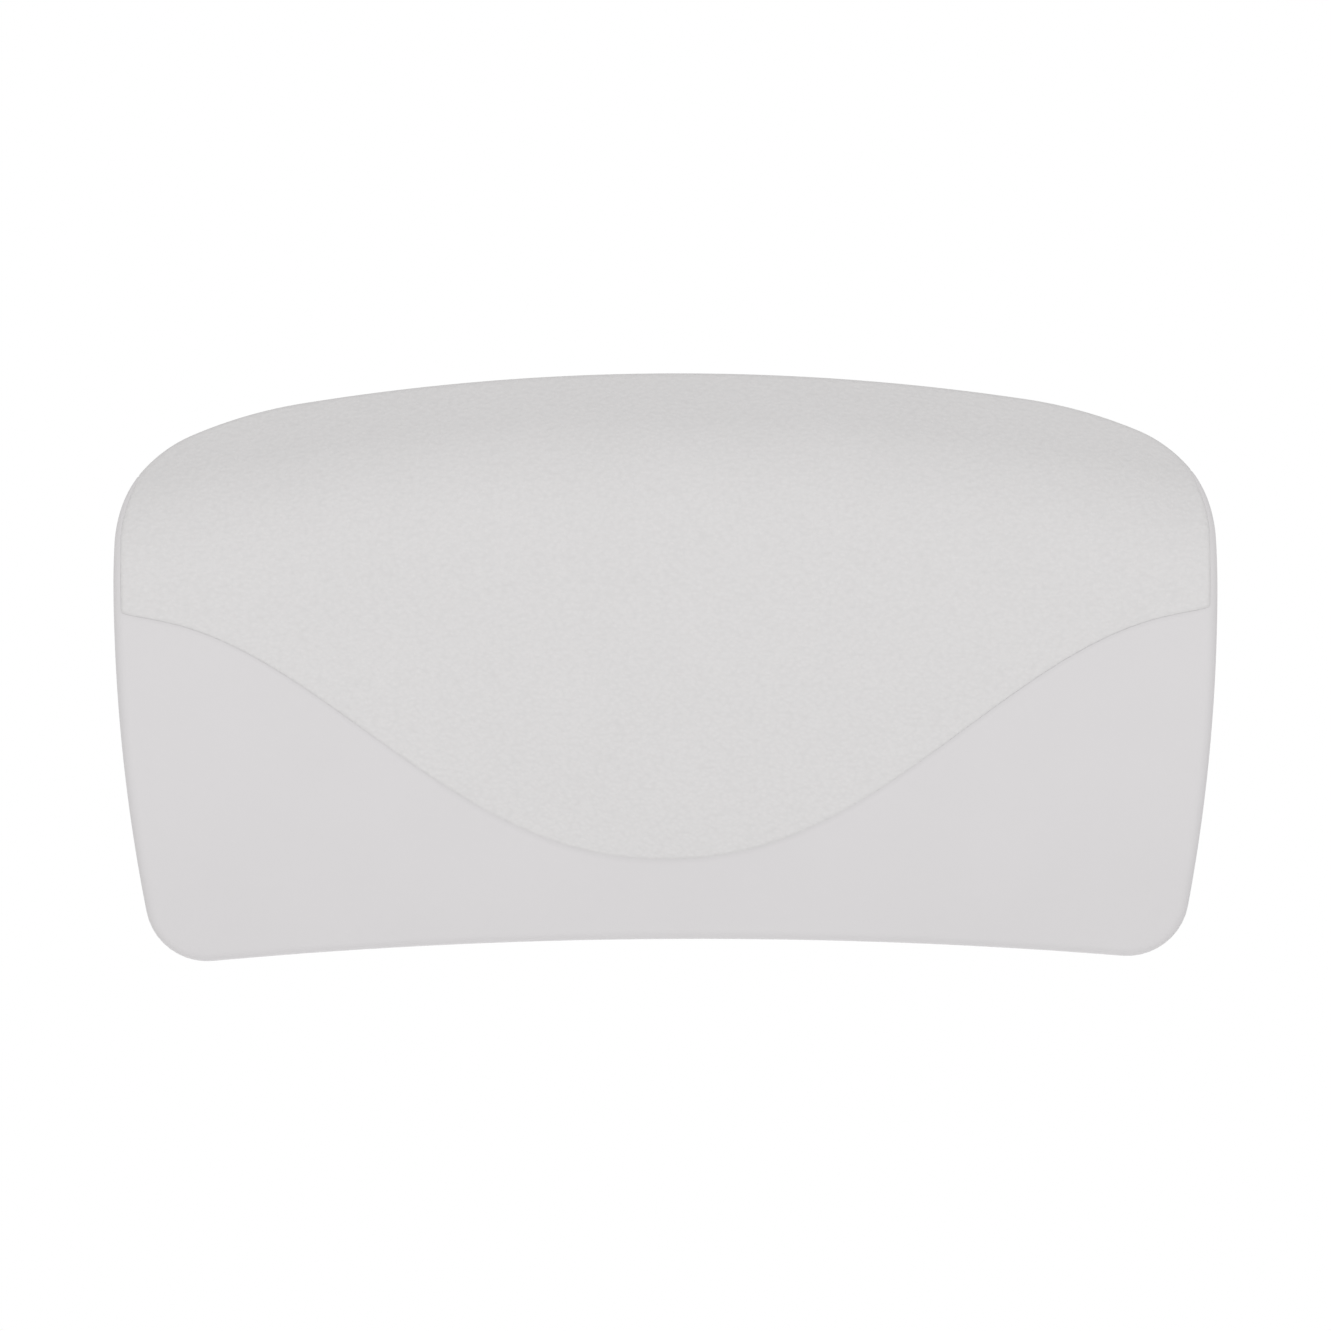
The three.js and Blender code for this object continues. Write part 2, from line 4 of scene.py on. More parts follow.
import bmesh
import bpy
import numpy as np
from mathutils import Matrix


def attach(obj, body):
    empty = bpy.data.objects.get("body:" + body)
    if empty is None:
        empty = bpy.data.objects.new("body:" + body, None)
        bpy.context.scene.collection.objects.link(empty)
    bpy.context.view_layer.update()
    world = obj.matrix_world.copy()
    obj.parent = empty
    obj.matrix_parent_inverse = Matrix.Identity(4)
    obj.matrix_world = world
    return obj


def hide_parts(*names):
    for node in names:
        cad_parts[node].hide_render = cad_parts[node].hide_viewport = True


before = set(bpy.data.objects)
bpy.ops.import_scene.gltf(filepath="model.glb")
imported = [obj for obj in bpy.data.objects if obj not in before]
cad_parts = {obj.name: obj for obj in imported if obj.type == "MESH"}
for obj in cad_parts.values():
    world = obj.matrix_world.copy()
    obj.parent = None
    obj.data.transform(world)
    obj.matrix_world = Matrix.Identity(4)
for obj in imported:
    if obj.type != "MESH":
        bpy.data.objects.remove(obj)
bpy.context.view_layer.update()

# Lengths are in millimetres, in the frame's axes, and become metres where a mesh is made.
MM = 0.001

# Front outline of the cushion, made of tangent arcs. Heights are above its two lowest corners.
WIDTH = 290
HEIGHT = 155.5
PLUG_HEIGHT = 84
WIDEST_HEIGHT = 100
TOP_RADIUS = 630
HAUNCH_FROM_SIDE = 48
HAUNCH_RADIUS = 115
SHOULDER_RADIUS = 32
SIDE_RADIUS = 540
CORNER_RADIUS = 16
BOTTOM_RISE = 5.3

# Depth of the cushion, its fall to the bottom, its roll at the top and its rounded edges.
DEPTH = 54
BOTTOM_FALL = 16
ROLL_RADIUS = 39
ROLL_ANGLE = math.radians(48)
ROLL_FLAT = 12.5
FRONT_EDGE = 3
BACK_EDGE = 1.5

# Head panel. It stands in a recess, with a soft crease all round.
PANEL_RECESS = 1.4
PANEL_PROUD = 0.6
PANEL_UNDER = 1.1
PANEL_LOW_HEIGHT = 26.9
PANEL_SIDE_DROP = 7.8
PANEL_SWEEP_POWER = 1.1
PANEL_TURN_UP = 0.9
PANEL_TURN_UP_LENGTH = 12
PANEL_BORDER = 2.2
PANEL_BORDER_END_DROP = 27
PANEL_BACK_EDGE = 8
PANEL_CORNER_LENGTH = 44
PANEL_CORNER_DEPTH = 22

# The crease in the middle of the lower edge, towards its ends, at the border, and where the border
# runs out: its level above the cushion, its gap, and the widths of the panel's rounded edge and the lip.
CREASE_LEVEL = (0.36, 0.36, 0.05, 0.45)
CREASE_GAP = (0.01, 0.038, 0.014, 0.01)
PANEL_EDGE = (0.7, 0.75, 0.85, 0.85)
PANEL_EDGE_POWER = 1.5
LIP = (1.6, 1.3, 1.2, 0.3)
LIP_POWER = 2

# Where the crease takes on its sizes at the ends and at the border, in shares of the panel's half width,
# and how far below and behind the run-out it fades.
CREASE_TO_ENDS = (0.2, 0.8)
CREASE_TO_BORDER = (0.97, 1)
CREASE_FADE_BELOW = 7
CREASE_FADE_BEHIND = 45

# Where the border runs out, the cushion swells to the panel's level, so the outline runs on. The swelling
# ends at these lengths below and behind the run-out, and at this reach from the panel.
SWELL_BELOW = 18
SWELL_BEHIND = 45
SWELL_REACH = 25

# Carrier plate, and the pocket for it in the foam.
CLEARANCE = 0.3
PLUG_SPACING = 127
PLATE_WALL = 3
LAND_LENGTH = 180
LAND_HEIGHT = 42
LAND_CORNER = 12
FLANGE_WIDTH = 8
RIB_THICKNESS = 2
RIB_HEIGHT = 8
KEY_HOLE_RADIUS = 4.5
KEY_HOLE_PLACE = (32, 11)
PAD_RADIUS = 15.3
PAD_DEPTH = 7.5
BOSS_RADIUS = 7
BOSS_DEPTH = 17.6
POCKET_EDGE = 0.8
OVERCUT = 1

# Fineness of the meshes. Rows of the panel close up towards the top edge, from BROW_START of its height.
PANEL_COLUMNS = 220
FRONT_ROWS = 92
BROW_ROWS = 14
BROW_START = 0.96
BROW_POWER = 0.8
WALL_ROWS = 18
FIELD_ROWS = 40
FILLET_ROWS = 8
SIDE_ROWS = 20
EDGE_ROWS = 6
ROUND_STEPS = 48
BACK_STEPS = 120
SIDE_SAMPLES = 6000
SLOPE_STEP = 0.02
EDGE_PASSES = 8
CORNER_SOFTENING = 3
EDGE_TOLERANCE = 0.01
JOIN_DISTANCE = 0.0001

# Columns of the cushion's mesh: the even share of their fan below the panel, the power of the rest, and
# how far they lean down the wall where the border runs out.
FAN_EVEN = 0.66
FAN_POWER = 3
COLUMN_LEAN = 8

# Edges that turn by more than this stay sharp, in degrees.
CUSHION_SHARP = 35
PANEL_SHARP = 50


# Outline of the cushion, in the plane of X and Z.

def level(height):
    """Z of a height above the two lowest corners."""
    return height - PLUG_HEIGHT


def unit(angle):
    return np.stack([np.cos(angle), np.sin(angle)], axis=-1)


def bearing(start, end):
    """Angle of the way from one point to another."""
    return math.atan2(end[1] - start[1], end[0] - start[0])


def upper_meeting(a, reach_a, b, reach_b):
    """The point at the given distances from two centres, on the upper right side."""
    span = np.linalg.norm(b - a)
    along = (reach_a**2 - reach_b**2 + span**2) / (2 * span)
    across = math.sqrt(reach_a**2 - along**2)
    direction = (b - a) / span
    normal = np.array([direction[1], -direction[0]])
    if normal.sum() < 0:
        normal = -normal
    return a + direction * along + normal * across


top_centre = np.array([0, level(HEIGHT) - TOP_RADIUS])
side_centre = np.array([WIDTH / 2 - SIDE_RADIUS, level(WIDEST_HEIGHT)])
to_haunch = math.acos((WIDTH / 2 - HAUNCH_FROM_SIDE) / TOP_RADIUS)
haunch_centre = top_centre + (TOP_RADIUS - HAUNCH_RADIUS) * unit(to_haunch)
shoulder_centre = upper_meeting(
    haunch_centre, HAUNCH_RADIUS - SHOULDER_RADIUS, side_centre, SIDE_RADIUS - SHOULDER_RADIUS)
corner_level = level(CORNER_RADIUS)
corner_reach = math.sqrt((SIDE_RADIUS - CORNER_RADIUS)**2 - (corner_level - side_centre[1])**2)
corner_centre = np.array([side_centre[0] + corner_reach, corner_level])
bottom_radius = (corner_centre[0]**2 + BOTTOM_RISE**2) / (2 * BOTTOM_RISE) - CORNER_RADIUS
bottom_centre = np.array([0, level(BOTTOM_RISE) - bottom_radius])

# The right half from the top centre round to the bottom centre: centre, radius, angles, outward side.
arcs = [
    (top_centre, TOP_RADIUS, math.pi / 2, to_haunch, 1),
    (haunch_centre, HAUNCH_RADIUS, to_haunch, bearing(haunch_centre, shoulder_centre), 1),
    (shoulder_centre, SHOULDER_RADIUS, bearing(haunch_centre, shoulder_centre),
     bearing(side_centre, shoulder_centre), 1),
    (side_centre, SIDE_RADIUS, bearing(side_centre, shoulder_centre),
     bearing(side_centre, corner_centre), 1),
    (corner_centre, CORNER_RADIUS, bearing(side_centre, corner_centre),
     bearing(corner_centre, bottom_centre), 1),
    (bottom_centre, bottom_radius, bearing(bottom_centre, corner_centre), math.pi / 2, -1),
]
arc_lengths = [radius * abs(end - start) for _, radius, start, end, _ in arcs]
arc_starts = np.concatenate([[0], np.cumsum(arc_lengths)])
half_length = arc_starts[-1]


def outline_at(along):
    """Points of the outline and the directions out of it, by arc length from the top centre, with the
    right side positive."""
    reach = np.abs(along)
    which = np.clip(np.searchsorted(arc_starts, reach, side="right") - 1, 0, len(arcs) - 1)
    at = np.zeros((len(along), 2))
    out = np.zeros((len(along), 2))
    for i, (centre, radius, start, end, side) in enumerate(arcs):
        here = which == i
        angle = start + np.sign(end - start) * (reach[here] - arc_starts[i]) / radius
        at[here] = centre + radius * unit(angle)
        out[here] = side * unit(angle)
    mirror = np.stack([np.where(along < 0, -1, 1), np.ones(len(along))], axis=1)
    return at * mirror, out * mirror


def nearest(points):
    """Arc length of the outline's nearest point, and how far inside the outline each point lies."""
    reach = np.stack([np.abs(points[:, 0]), points[:, 1]], axis=1)
    best = np.full(len(points), np.inf)
    along = np.zeros(len(points))
    inset = np.zeros(len(points))
    for first, (centre, radius, start, end, side) in zip(arc_starts, arcs):
        away = reach - centre
        angle = np.clip(np.arctan2(away[:, 1], away[:, 0]), min(start, end), max(start, end))
        gap = away - radius * unit(angle)
        distance = np.linalg.norm(gap, axis=1)
        closer = distance < best
        best = np.where(closer, distance, best)
        along = np.where(closer, first + radius * np.abs(angle - start), along)
        inset = np.where(closer, -side * (gap * unit(angle)).sum(axis=1), inset)
    return np.where(points[:, 0] < 0, -along, along), inset


# Arc lengths of the right side down to the corner, for finding the outline at a height or at a reach.
side_end = sum(arc_lengths[:-2])
side_lengths = np.linspace(0, side_end, SIDE_SAMPLES + 1)
side_points, _ = outline_at(side_lengths)


def length_at_level(z):
    return np.interp(-z, -side_points[:, 1], side_lengths)


def reach_at_level(z):
    return np.interp(-z, -side_points[:, 1], side_points[:, 0])


def length_at_reach(x):
    widest = np.argmax(side_points[:, 0])
    return np.sign(x) * np.interp(np.abs(x), side_points[:widest, 0], side_lengths[:widest])


# Skin of the cushion. It is worked out on a flat sheet: the front view, run on past the front edge by
# the length of the rounded edge and of the wall behind it.

def front_depth(points):
    """How far the front lies before the back face, at points of the front view."""
    x, z = points[:, 0], points[:, 1]
    fall = np.maximum(level(WIDEST_HEIGHT) - z, 0) / WIDEST_HEIGHT
    arc_rise = ROLL_RADIUS * math.sin(ROLL_ANGLE)
    crest = top_centre[1] + np.sqrt(TOP_RADIUS**2 - x**2)
    rise = np.maximum(z - (crest - ROLL_FLAT - arc_rise), 0)
    bent = ROLL_RADIUS - np.sqrt(ROLL_RADIUS**2 - np.minimum(rise, arc_rise)**2)
    straight = np.maximum(rise - arc_rise, 0) * math.tan(ROLL_ANGLE)
    return DEPTH - BOTTOM_FALL * fall**2 - bent - straight


def front_normal(points):
    """Directions out of the front."""
    right = np.array([SLOPE_STEP, 0])
    up = np.array([0, SLOPE_STEP])
    across = front_depth(points + right) - front_depth(points - right)
    upward = front_depth(points + up) - front_depth(points - up)
    normal = np.stack([-across, np.full(len(points), -2 * SLOPE_STEP), -upward], axis=1)
    return normal / np.linalg.norm(normal, axis=1, keepdims=True)


def edge_at(at, out):
    """The rounded front edge at points of the outline: depth where it leaves the wall, turn, and inset
    where it meets the front."""
    inset = np.full(len(at), float(FRONT_EDGE))
    for _ in range(EDGE_PASSES):
        touch = at - out * inset[:, None]
        slope = front_depth(touch - out * SLOPE_STEP) - front_depth(touch + out * SLOPE_STEP)
        slope /= 2 * SLOPE_STEP
        inset = FRONT_EDGE * (1 - slope / np.hypot(1, slope))
    turn = np.arctan2(1, slope)
    rim = front_depth(at - out * inset[:, None]) - FRONT_EDGE * np.sin(turn)
    return rim, turn, inset


def skin(sheet, proud=0.0):
    """Points of the skin for points of the flat sheet, moved out by a distance."""
    along, inset = nearest(sheet)
    at, out = outline_at(along)
    rim, turn, reach = edge_at(at, out)
    over = reach - inset
    angle = np.clip(turn - over / FRONT_EDGE, 0, None)
    down = np.maximum(over - FRONT_EDGE * turn, 0)
    back_angle = np.clip((down - rim + BACK_EDGE) / BACK_EDGE, 0, math.pi / 2)
    front = over <= 0
    tucked = FRONT_EDGE * (1 - np.cos(angle)) + BACK_EDGE * (1 - np.cos(back_angle))
    depth = rim + FRONT_EDGE * np.sin(angle) - np.minimum(down, rim - BACK_EDGE)
    depth -= BACK_EDGE * np.sin(back_angle)
    depth = np.where(front, front_depth(sheet), depth)
    flat = np.where(front[:, None], sheet, at - out * tucked[:, None])
    lean = np.cos(angle) * np.cos(back_angle)
    facing = np.sin(back_angle) - np.sin(angle)
    wrapped = np.stack([out[:, 0] * lean, facing, out[:, 1] * lean], axis=1)
    normal = np.where(front[:, None], front_normal(sheet), wrapped)
    return np.stack([flat[:, 0], -depth, flat[:, 1]], axis=1) + normal * proud


def unrolled(points):
    """Points of the flat sheet for points of the front view."""
    along, inset = nearest(points)
    at, out = outline_at(along)
    _, turn, reach = edge_at(at, out)
    angle = np.arccos(np.clip(1 - inset / FRONT_EDGE, -1, 1))
    over = FRONT_EDGE * (turn - angle)
    return np.where((inset < reach)[:, None], at - out * (reach - over)[:, None], points)


def past_edge(along, over):
    """Points of the flat sheet at lengths along the outline and distances past the front."""
    at, out = outline_at(along)
    _, _, reach = edge_at(at, out)
    return at + out * (over - reach)[:, None]


def wall_start(along):
    """Points of the flat sheet where the rounded front edge ends and the wall starts."""
    _, turn, _ = edge_at(*outline_at(along))
    return past_edge(along, FRONT_EDGE * turn)


def wall_point(along, depth):
    """Points of the flat sheet for points of the wall, by their distance from the back face."""
    rim, turn, _ = edge_at(*outline_at(along))
    return past_edge(along, FRONT_EDGE * turn + rim - depth)


# Edge of the head panel on the flat sheet.

side_level = level(WIDEST_HEIGHT - PANEL_SIDE_DROP)
end_level = level(HEIGHT - PANEL_BORDER_END_DROP)
sweep_reach = reach_at_level(side_level) - PANEL_BORDER
run_out = length_at_level(end_level)
brow_shares = np.concatenate([
    np.linspace(0, BROW_START, FRONT_ROWS + 1)[:-1],
    BROW_START + (1 - BROW_START) * np.linspace(0, 1, BROW_ROWS + 1)**BROW_POWER,
])
front_rows = len(brow_shares) - 1
panel_rows = front_rows + WALL_ROWS


def sweep_level(x):
    """Level of the panel's lower edge: an S-shaped rise to each side, with a slight turn up at its end."""
    reach = np.abs(x)
    rise = (1 - np.cos(math.pi * (reach / sweep_reach)**PANEL_SWEEP_POWER)) / 2
    turn_up = PANEL_TURN_UP * np.maximum(1 - (sweep_reach - reach) / PANEL_TURN_UP_LENGTH, 0)**2
    low_level = level(PANEL_LOW_HEIGHT)
    return low_level + (side_level - PANEL_TURN_UP - low_level) * rise + turn_up


def resample(points, count):
    """Evenly spaced points along a line."""
    steps = np.linalg.norm(np.diff(points, axis=0), axis=1)
    length = np.concatenate([[0], np.cumsum(steps)])
    wanted = np.linspace(0, length[-1], count)
    return np.stack([np.interp(wanted, length, points[:, i]) for i in range(2)], axis=1)


def mirrored(points):
    return points * np.array([-1, 1])


def panel_sides():
    """The four sides of the panel: lower edge, right, back edge and left, from below and from the left."""
    x = np.linspace(-sweep_reach, sweep_reach, PANEL_COLUMNS + 1)
    low = unrolled(np.stack([x, sweep_level(x)], axis=1))
    z = side_level + (end_level - side_level) * brow_shares
    border = PANEL_BORDER * np.sqrt(1 - brow_shares**2)
    right = unrolled(np.stack([reach_at_level(z) - border, z], axis=1))
    right[-1] = wall_start(np.array([run_out]))[0]

    # On the wall, a rounded corner belongs half to the right side and half to the back edge.
    angle = np.linspace(math.pi / 2, 0, BACK_STEPS + 1)
    corner_x = reach_at_level(end_level) - PANEL_CORNER_LENGTH * (1 - np.sin(angle))
    corner_depth = PANEL_BACK_EDGE + PANEL_CORNER_DEPTH * (1 - np.cos(angle))
    corner = wall_point(length_at_reach(corner_x), corner_depth)
    half = len(corner) // 2
    straight_x = np.linspace(corner_x[-1], -corner_x[-1], BACK_STEPS + 1)[1:-1]
    straight = wall_point(length_at_reach(straight_x), np.full(len(straight_x), float(PANEL_BACK_EDGE)))
    right_wall = resample(np.concatenate([right[-1:], corner[:half + 1]]), WALL_ROWS + 1)
    right = np.concatenate([right, right_wall[1:]])
    back = np.concatenate([corner[half:], straight, mirrored(corner[half:])[::-1]])
    back = resample(back, PANEL_COLUMNS + 1)[::-1]
    return low, right, back, mirrored(right)


def ring_of(low, right, back, left):
    """The four sides as one closed line, anticlockwise from the lower left corner."""
    return np.concatenate([low[:-1], right[:-1], back[::-1][:-1], left[::-1][:-1]])


def sides_of(ring):
    """The four sides of such a closed line."""
    n, m = PANEL_COLUMNS, panel_rows
    closed = np.concatenate([ring, ring[:1]])
    low, right = closed[:n + 1], closed[n:n + m + 1]
    back, left = closed[n + m:2 * n + m + 1][::-1], closed[2 * n + m:][::-1]
    return low, right, back, left


def softened(ring):
    """A closed line with its corners rounded off."""
    for _ in range(CORNER_SOFTENING):
        ring = (np.roll(ring, 1, axis=0) + 2 * ring + np.roll(ring, -1, axis=0)) / 4
    return ring


panel_ring = softened(ring_of(*panel_sides()))
along_ring = np.roll(panel_ring, -1, axis=0) - np.roll(panel_ring, 1, axis=0)
along_ring /= np.linalg.norm(along_ring, axis=1, keepdims=True)
ring_out = np.stack([along_ring[:, 1], -along_ring[:, 0]], axis=1)


def spread(distance):
    """The panel's edge on the flat sheet, moved outwards."""
    return panel_ring + ring_out * distance


def between(low, back, left, right, shares):
    """A grid of points inside four sides."""
    u = np.linspace(0, 1, len(low))[None, :, None]
    v = shares[:, None, None]
    upright = (1 - v) * low[None] + v * back[None]
    across = (1 - u) * left[:, None] + u * right[:, None]
    corners = (1 - v) * ((1 - u) * low[0] + u * low[-1]) + v * ((1 - u) * back[0] + u * back[-1])
    return upright + across - corners


def panel_grid(ring):
    """Rows of points over the panel: up the front to the top edge, then back over the wall."""
    low, right, back, left = sides_of(ring)
    lengths = np.linspace(-run_out, run_out, PANEL_COLUMNS + 1)
    brow = wall_start(lengths)
    share = np.linspace(0, 1, len(brow))[:, None]
    brow += (1 - share) * (left[front_rows] - brow[0]) + share * (right[front_rows] - brow[-1])
    front = between(low, brow, left[:front_rows + 1], right[:front_rows + 1], brow_shares)
    wall = between(brow, back, left[front_rows:], right[front_rows:], np.linspace(0, 1, WALL_ROWS + 1))
    return np.concatenate([front[:-1], wall])


def smooth_step(share):
    """A share from 0 to 1, eased at both ends."""
    share = np.clip(share, 0, 1)
    return share * share * (3 - 2 * share)


def ramp(value, span):
    """Zero before a span, one after it, and eased between."""
    start, end = span
    return smooth_step((value - start) / (end - start))


def run_out_share(below, behind):
    """One where the border runs out, falling to zero along the panel's edge over two lengths."""
    steps = np.linalg.norm(np.roll(panel_ring, -1, axis=0) - panel_ring, axis=1)
    passed = np.concatenate([[0], np.cumsum(steps)[:-1]])
    share = np.zeros(len(panel_ring))
    right_end = PANEL_COLUMNS + front_rows
    left_end = 2 * PANEL_COLUMNS + 2 * panel_rows - front_rows
    for end, direction in ((right_end, 1), (left_end, -1)):
        ahead = (passed - passed[end]) * direction
        fade = np.where(ahead < 0, -ahead / below, ahead / behind)
        share = np.maximum(share, 1 - smooth_step(fade))
    return share


swell_share = run_out_share(SWELL_BELOW, SWELL_BEHIND)
fade_share = run_out_share(CREASE_FADE_BELOW, CREASE_FADE_BEHIND)
reach_share = np.abs(panel_ring[:, 0]) / sweep_reach
end_share = ramp(reach_share, CREASE_TO_ENDS)
border_share = ramp(reach_share, CREASE_TO_BORDER)


def along_edge(sizes):
    """A size of the crease at every point of the panel's edge."""
    middle, ends, border, run_out_size = sizes
    size = middle + (ends - middle) * end_share
    size += (border - size) * border_share
    return (size + (run_out_size - size) * fade_share)[:, None]


crease_level = along_edge(CREASE_LEVEL)
half_gap = along_edge(CREASE_GAP) / 2
panel_edge = along_edge(PANEL_EDGE)
lip_width = along_edge(LIP)


# Meshes.

class Shell:
    """Collects points and faces of one mesh."""

    def __init__(self):
        self.points = []
        self.faces = []
        self.count = 0

    def add(self, points):
        """Adds points of any grid shape, and returns their numbers in that shape."""
        flat = points.reshape(-1, 3)
        self.points.append(flat)
        numbers = np.arange(self.count, self.count + len(flat))
        self.count += len(flat)
        return numbers.reshape(points.shape[:-1])

    def grid(self, numbers):
        """Faces over a grid of point numbers. A face with repeated numbers loses corners, or is left out."""
        corners = np.stack(
            [numbers[:-1, :-1], numbers[:-1, 1:], numbers[1:, 1:], numbers[1:, :-1]], axis=-1)
        for face in corners.reshape(-1, 4).tolist():
            face = list(dict.fromkeys(face))
            if len(face) > 2:
                self.faces.append(face)

    def band(self, rings):
        """Faces between closed rings of point numbers."""
        numbers = np.stack(rings)
        self.grid(np.concatenate([numbers, numbers[:, :1]], axis=1))

    def object(self, name):
        mesh = bpy.data.meshes.new(name)
        mesh.from_pydata((np.concatenate(self.points) * MM).tolist(), [], self.faces)
        return finished(name, mesh)


def finished(name, mesh):
    """An object of the mesh, without loose points and with all faces pointing out."""
    work = bmesh.new()
    work.from_mesh(mesh)
    loose = [v for v in work.verts if not v.link_faces]
    bmesh.ops.delete(work, geom=loose, context="VERTS")
    bmesh.ops.recalc_face_normals(work, faces=work.faces)
    work.to_mesh(mesh)
    work.free()
    thing = bpy.data.objects.new(name, mesh)
    bpy.context.scene.collection.objects.link(thing)
    return thing


def smoothed(thing, angle):
    """Shades smoothly, apart from edges that turn by more than the angle."""
    thing.data.shade_smooth()
    thing.data.set_sharp_from_angle(angle=math.radians(angle))


def grid_ring(numbers):
    """The numbers round the rim of a grid, in the order of the panel's edge."""
    return np.concatenate([numbers[0, :-1], numbers[:-1, -1], numbers[-1, :0:-1], numbers[:0:-1, 0]])


def combine(thing, other, operation):
    """Joins another closed mesh to this one, or cuts it out, and deletes the other."""
    step = thing.modifiers.new(operation, "BOOLEAN")
    step.operation = operation
    step.object = other
    step.solver = "EXACT"
    view = bpy.context.evaluated_depsgraph_get()
    mesh = bpy.data.meshes.new_from_object(thing.evaluated_get(view))
    thing.modifiers.clear()
    old = thing.data
    thing.data = mesh
    bpy.data.meshes.remove(old)
    old = other.data
    bpy.data.objects.remove(other)
    bpy.data.meshes.remove(old)
    return thing


def make_panel():
    """The panel's grained top, its rounded edge down to the crease, its side and its underside."""
    shell = Shell()
    edge = spread(-half_gap)
    inner = spread(-half_gap - panel_edge)
    sheet = panel_grid(inner)
    flat = sheet.reshape(-1, 2)
    top = shell.add(skin(flat, PANEL_PROUD).reshape(*sheet.shape[:2], 3))
    under = shell.add(skin(flat, -PANEL_UNDER).reshape(*sheet.shape[:2], 3))
    rings = [grid_ring(top)]
    for share in np.linspace(0, 1, EDGE_ROWS + 1)[1:]:
        drop = (PANEL_PROUD - crease_level) * share**PANEL_EDGE_POWER
        rings.append(shell.add(skin(inner + (edge - inner) * share, PANEL_PROUD - drop)))
    rings.append(shell.add(skin(edge, -PANEL_UNDER)))
    rings.append(grid_ring(under))
    shell.grid(top)
    shell.grid(under)
    shell.band(rings)
    return shell.object("headrest_panel")


def body_columns(start):
    """For each point of the panel's edge, a line over the skin to the back face, on the flat sheet."""
    n = PANEL_COLUMNS
    own, inset = nearest(start)
    _, turn, reach = edge_at(*outline_at(own))
    start_over = reach - inset
    on_front = (start_over < -EDGE_TOLERANCE)[:, None]
    on_edge = (start_over < FRONT_EDGE * turn - EDGE_TOLERANCE)[:, None]

    # Below the panel, the columns fan out to the bottom. Beside it, they go straight over the front edge.
    x = start[:n + 1, 0]
    share = np.abs(x) / x[-1]
    down = (half_length - own[n]) * (FAN_EVEN * share + (1 - FAN_EVEN) * share**FAN_POWER)
    near = own.copy()
    near[:n + 1] = np.where(x < 0, -1, 1) * (half_length - down)
    front_end = np.where(on_front, past_edge(near, np.zeros(len(near))), start)
    edge_end = np.where(on_edge, wall_start(near), start)

    # On the wall, they lean down where the border runs out, and are spread evenly before and after it.
    around = np.concatenate([start[n:], start[:1]])
    passed = np.concatenate([[0], np.cumsum(np.linalg.norm(np.diff(around, axis=0), axis=1))])
    border = passed[front_rows]
    lean_to = own[n + front_rows] + COLUMN_LEAN
    far = near.copy()
    far[n:] = np.interp(
        passed[:-1], [0, border, passed[-1] - border, passed[-1]], [own[n], lean_to, -lean_to, -own[n]])
    rim, turn, _ = edge_at(*outline_at(far))
    wall_over = FRONT_EDGE * turn + rim - BACK_EDGE
    wall_end = past_edge(far, wall_over)
    back_end = past_edge(far, wall_over + BACK_EDGE * math.pi / 2)

    stops = [start, front_end, edge_end, wall_end, back_end]
    rows = [start[None]]
    for first, last, count in zip(stops, stops[1:], [FIELD_ROWS, FILLET_ROWS, SIDE_ROWS, EDGE_ROWS]):
        share = np.linspace(0, 1, count + 1)[1:, None, None]
        rows.append(first + (last - first) * share)
    return np.concatenate(rows)


def merged_numbers(numbers, points):
    """Point numbers where a point that coincides with the one before it in its column takes that number."""
    numbers = numbers.copy()
    for row in range(1, len(numbers)):
        same = np.linalg.norm(points[row] - points[row - 1], axis=1) < JOIN_DISTANCE
        numbers[row, same] = numbers[row - 1, same]
    return numbers


def make_cushion():
    """The cushion's skin from the panel's edge to the back face, its lip, and the recess for the panel."""
    shell = Shell()
    wall = spread(half_gap)
    lip = spread(half_gap + lip_width)
    columns = body_columns(lip)
    steps = np.linalg.norm(np.diff(columns, axis=0, prepend=columns[:1]), axis=2)
    swell = PANEL_PROUD * swell_share
    raised = swell * (1 - smooth_step(np.cumsum(steps, axis=0) / SWELL_REACH))
    points = skin(columns.reshape(-1, 2), raised.reshape(-1, 1)).reshape(*columns.shape[:2], 3)
    numbers = merged_numbers(shell.add(points), points)
    floor_sheet = panel_grid(wall)
    floor = shell.add(skin(floor_sheet.reshape(-1, 2), -PANEL_RECESS).reshape(*floor_sheet.shape[:2], 3))
    rings = [numbers[0]]
    for share in np.linspace(0, 1, EDGE_ROWS + 1)[1:]:
        rise = swell[:, None] + (crease_level - swell[:, None]) * share**LIP_POWER
        rings.append(shell.add(skin(lip + (wall - lip) * share, rise)))
    rings.append(grid_ring(floor))
    shell.band(rings)
    shell.grid(floor)
    shell.grid(np.concatenate([numbers, numbers[:, :1]], axis=1))
    shell.faces.append(list(dict.fromkeys(numbers[-1].tolist())))
    return shell.object("headrest_cushion")


def rounded_rectangle(length, height, radius, steps=ROUND_STEPS // 4):
    angles = np.linspace(0, math.pi / 2, steps + 1)
    corner = radius * unit(angles) + np.array([length / 2 - radius, height / 2 - radius])
    right = np.concatenate([(corner * [1, -1])[::-1], corner])
    return np.concatenate([right, (right * [-1, 1])[::-1]])


def circle(radius, centre=(0, 0), steps=ROUND_STEPS):
    return np.array(centre) + radius * unit(np.linspace(0, 2 * math.pi, steps, endpoint=False))


def prism(name, sections):
    """A closed body through sections of equal count, each a line in X and Z with its Y."""
    shell = Shell()
    rings = [
        shell.add(np.stack([line[:, 0], np.full(len(line), float(y)), line[:, 1]], axis=1))
        for line, y in sections
    ]
    shell.band(rings)
    shell.faces.append(rings[0].tolist())
    shell.faces.append(rings[-1].tolist())
    return shell.object(name)


